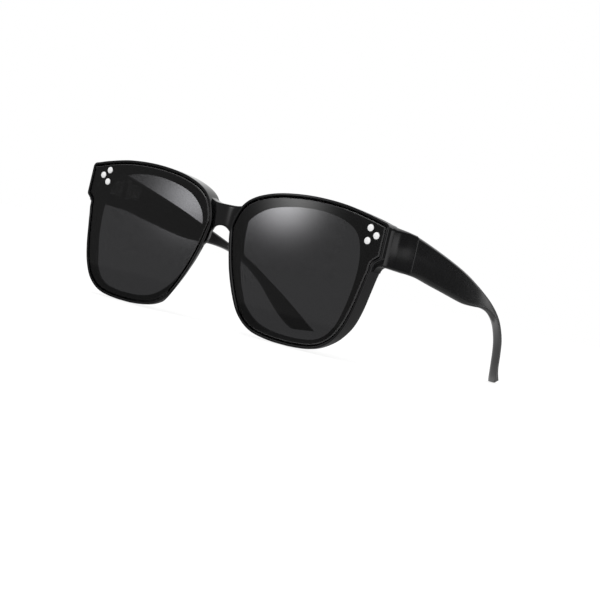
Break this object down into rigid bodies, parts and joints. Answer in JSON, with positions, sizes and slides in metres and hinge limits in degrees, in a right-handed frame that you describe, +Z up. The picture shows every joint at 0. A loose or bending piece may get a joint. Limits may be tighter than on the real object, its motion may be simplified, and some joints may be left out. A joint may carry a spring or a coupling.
{
  "type": "sunglasses",
  "caption": "Fit-over sunglasses with large rounded-square tinted lens panels, a deep plastic front, metal corner studs and folding temples on knuckle hinges.",
  "frame": {"origin": "middle of the bounding box at the surface that the rims and temple tips stand on", "axes": "+X to the wearer's left, +Y back along the open temples, +Z up"},
  "size_m": [0.1538, 0.1534, 0.0571],
  "materials": {
    "frame": "polished black moulding",
    "lens": "polished grey tinted sheet",
    "studs": "polished",
    "hinges": "plain turned and stamped metal"
  },
  "bodies": {
    "front": {"front_frame": "frame", "lens_left": "lens", "lens_right": "lens", "corner_studs_left": "studs", "corner_studs_right": "studs", "front_hinge_leaf_left": "hinges", "front_hinge_leaf_right": "hinges", "hinge_screw_left": "hinges", "hinge_screw_right": "hinges", "front_leaf_screws_left": "hinges", "front_leaf_screws_right": "hinges"},
    "left_arm": {"temple_left": "frame", "temple_hinge_leaf_left": "hinges", "temple_leaf_screws_left": "hinges"},
    "right_arm": {"temple_right": "frame", "temple_hinge_leaf_right": "hinges", "temple_leaf_screws_right": "hinges"}
  },
  "joints": [
    {"name": "left_temple_fold", "type": "hinge", "parent": "front", "child": "left_arm", "pos_m": [0.071, -0.05507, 0.04455], "axis": [0, 0, 1], "range_deg": [0, 84]},
    {"name": "right_temple_fold", "type": "hinge", "parent": "front", "child": "right_arm", "pos_m": [-0.071, -0.05507, 0.04455], "axis": [0, 0, -1], "range_deg": [0, 78]}
  ]
}
